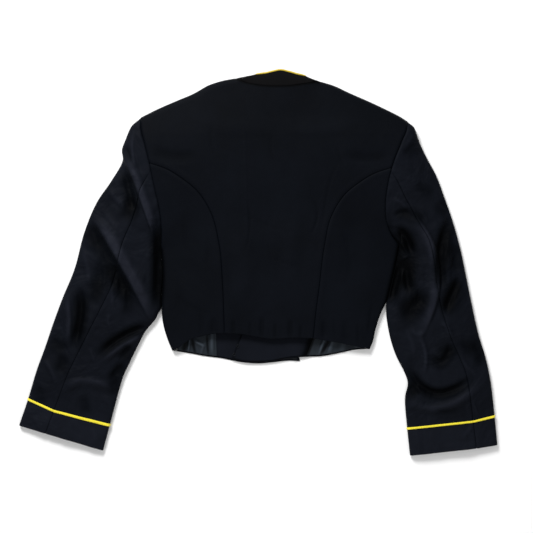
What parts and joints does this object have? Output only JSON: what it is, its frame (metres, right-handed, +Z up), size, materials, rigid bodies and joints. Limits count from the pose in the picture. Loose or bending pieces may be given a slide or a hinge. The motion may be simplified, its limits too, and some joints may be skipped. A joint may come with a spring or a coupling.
{
  "type": "mess jacket",
  "caption": "Short black mess jacket laid face down on a flat surface, back up, with yellow braid round both cuffs, gold collar piping and grey satin lining showing at the hem.",
  "frame": {"origin": "on the surface the jacket lies on, below the middle of its bounding box", "axes": "+Z up from the surface, +Y from the hem to the collar, +X to the wearer's right"},
  "size_m": [0.859, 0.6953, 0.0298],
  "materials": {
    "black_wool": "matt worsted wool",
    "facing_wool": "matt worsted wool",
    "collar_felt": "felted wool",
    "grey_satin": "satin lining",
    "yellow_braid": "flat woven braid",
    "gold_cord": "twisted cord piping",
    "steel_wire": "bright wire"
  },
  "bodies": {
    "root": {"back_centre": "black_wool", "back_side_left": "black_wool", "back_side_right": "black_wool", "front_left": "black_wool", "front_right": "black_wool", "sleeve_top_left": "black_wool", "sleeve_under_left": "black_wool", "sleeve_top_right": "black_wool", "sleeve_under_right": "black_wool", "facing_left": "facing_wool", "facing_right": "facing_wool", "lining_left": "grey_satin", "lining_right": "grey_satin", "corner_strip_left": "grey_satin", "collar": "collar_felt", "collar_piping": "gold_cord", "braid_top_left": "yellow_braid", "braid_under_left": "yellow_braid", "braid_top_right": "yellow_braid", "braid_under_right": "yellow_braid", "button_ring_1": "steel_wire", "button_ring_2": "steel_wire", "button_ring_3": "steel_wire", "side_eye_left": "steel_wire", "side_eye_right": "steel_wire"}
  },
  "joints": []
}
